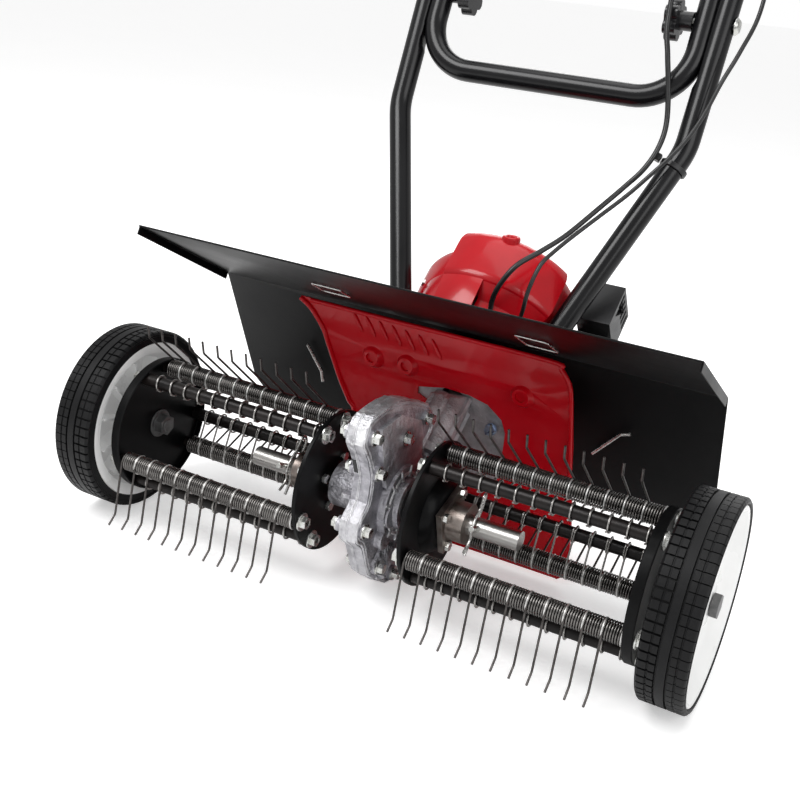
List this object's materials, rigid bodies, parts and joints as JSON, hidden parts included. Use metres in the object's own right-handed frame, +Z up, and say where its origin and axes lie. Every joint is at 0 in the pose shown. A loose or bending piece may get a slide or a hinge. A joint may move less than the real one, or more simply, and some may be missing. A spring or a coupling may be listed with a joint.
{
  "type": "lawn dethatcher",
  "caption": "Walk-behind lawn dethatcher: spring-tine reels driven by a worm gearcase, small engine, debris shield, side wheels and a folding U-shaped handle.",
  "frame": {"origin": "centre of the bounding box on the ground plane", "axes": "+X to the operator's right, +Y back towards the grips, +Z up"},
  "size_m": [0.608, 0.7883, 0.9493],
  "materials": {
    "cast_aluminium": "rough cast",
    "cast_grey": "rough cast",
    "zinc": "satin",
    "steel": "satin",
    "spring_steel": "satin",
    "brown_steel": "satin",
    "bronze": "satin",
    "black_paint": "gloss",
    "red_paint": "gloss",
    "red_plastic": "gloss",
    "white_plastic": "gloss",
    "milky_plastic": "satin",
    "black_plastic": "satin",
    "rubber": "matte",
    "tyre_rubber": "matte",
    "engine_metal": "matte"
  },
  "bodies": {
    "chassis": {"gearcase_left": "cast_aluminium", "gearcase_right": "cast_aluminium", "gearcase_bolts": "zinc", "shaft_seals": "rubber", "bearings": "steel", "clutch_case": "cast_grey", "fender": "red_paint", "fender_bolts": "zinc", "shield": "black_paint", "shield_clips": "zinc", "engine_block": "engine_metal", "engine_cover": "red_plastic", "engine_screws": "zinc", "muffler": "steel", "air_cleaner": "black_plastic", "carburettor": "cast_aluminium", "fuel_tank": "milky_plastic", "plug_cap": "rubber", "handle_bracket": "black_paint", "handle_tube_left": "black_paint", "handle_tube_right": "black_paint", "handle_bolts": "zinc", "drag_bar": "black_paint", "drag_bar_pin": "zinc", "cable_tie": "black_plastic", "throttle_cable": "black_plastic", "stop_wire": "black_plastic", "pivot_bolts": "zinc"},
    "reel": {"tine_shaft": "steel", "worm_wheel": "bronze", "hub_left": "brown_steel", "hub_right": "brown_steel", "hub_pins": "zinc", "inner_plate_left": "black_paint", "inner_plate_right": "black_paint", "outer_plate_left": "black_paint", "outer_plate_right": "black_paint", "coil_rods": "black_paint", "hook_rods": "black_paint", "rod_nuts": "zinc", "tines_left": "spring_steel", "tines_right": "spring_steel", "wheel_bolts": "zinc"},
    "wheel_left": {"rim_left": "white_plastic", "tyre_left": "tyre_rubber"},
    "wheel_right": {"rim_right": "white_plastic", "tyre_right": "tyre_rubber"},
    "drive": {"worm_shaft": "steel"},
    "crank": {"crankshaft": "steel", "flywheel": "cast_aluminium"},
    "upper_handle": {"upper_handle": "black_paint", "grips": "rubber", "throttle_housing": "black_plastic"},
    "throttle_lever": {"throttle_lever": "black_plastic"},
    "stop_switch": {"stop_switch": "red_plastic"},
    "knob_left": {"knob_left": "black_plastic"},
    "knob_right": {"knob_right": "black_plastic"},
    "fuel_cap": {"fuel_cap": "red_plastic"},
    "starter": {"starter_grip": "black_plastic"},
    "choke_lever": {"choke_lever": "black_plastic"}
  },
  "joints": [
    {"name": "reel_spin", "type": "hinge", "parent": "chassis", "child": "reel", "pos_m": [0, -0.3053, 0.0889], "axis": [1, 0, 0], "continuous": true},
    {"name": "wheel_left_spin", "type": "hinge", "parent": "reel", "child": "wheel_left", "pos_m": [-0.28, -0.3053, 0.0889], "axis": [1, 0, 0], "continuous": true},
    {"name": "wheel_right_spin", "type": "hinge", "parent": "reel", "child": "wheel_right", "pos_m": [0.28, -0.3053, 0.0889], "axis": [1, 0, 0], "continuous": true},
    {"name": "drive_spin", "type": "hinge", "parent": "chassis", "child": "drive", "pos_m": [0.006, -0.2107, 0.13173], "axis": [0, 0.766, 0.6428], "continuous": true},
    {"name": "crank_spin", "type": "hinge", "parent": "chassis", "child": "crank", "pos_m": [0.006, -0.11111, 0.21529], "axis": [0, 0.766, 0.6428], "continuous": true},
    {"name": "handle_fold", "type": "hinge", "parent": "chassis", "child": "upper_handle", "pos_m": [0, -0.0123, 0.5109], "axis": [1, 0, 0], "range_deg": [0, 120], "deforming": ["throttle_cable", "stop_wire"]},
    {"name": "knob_left_turn", "type": "hinge", "parent": "upper_handle", "child": "knob_left", "pos_m": [-0.112, -0.0123, 0.5109], "axis": [1, 0, 0], "continuous": true},
    {"name": "knob_right_turn", "type": "hinge", "parent": "upper_handle", "child": "knob_right", "pos_m": [0.112, -0.0123, 0.5109], "axis": [1, 0, 0], "continuous": true},
    {"name": "throttle_press", "type": "hinge", "parent": "upper_handle", "child": "throttle_lever", "pos_m": [0.162, 0.27406, 0.91921], "axis": [-1, 0, 0], "range_deg": [0, 14], "stiffness_Nm_per_rad": 0.2},
    {"name": "switch_slide", "type": "slide", "parent": "upper_handle", "child": "stop_switch", "axis": [0, 0.9736, 0.2282], "range_m": [0, 0.003]},
    {"name": "fuel_cap_turn", "type": "hinge", "parent": "chassis", "child": "fuel_cap", "pos_m": [-0.03, -0.06423, 0.13453], "axis": [0, 0.766, 0.6428], "continuous": true},
    {"name": "starter_pull", "type": "slide", "parent": "chassis", "child": "starter", "axis": [-1, 0, 0], "range_m": [0, 0.3]},
    {"name": "choke_turn", "type": "hinge", "parent": "chassis", "child": "choke_lever", "pos_m": [0.086, -0.1154, 0.15817], "axis": [1, 0, 0], "range_deg": [0, 60]}
  ],
  "couplings": [
    {"joint": "drive_spin", "follows": "reel_spin", "ratio": -40}
  ]
}
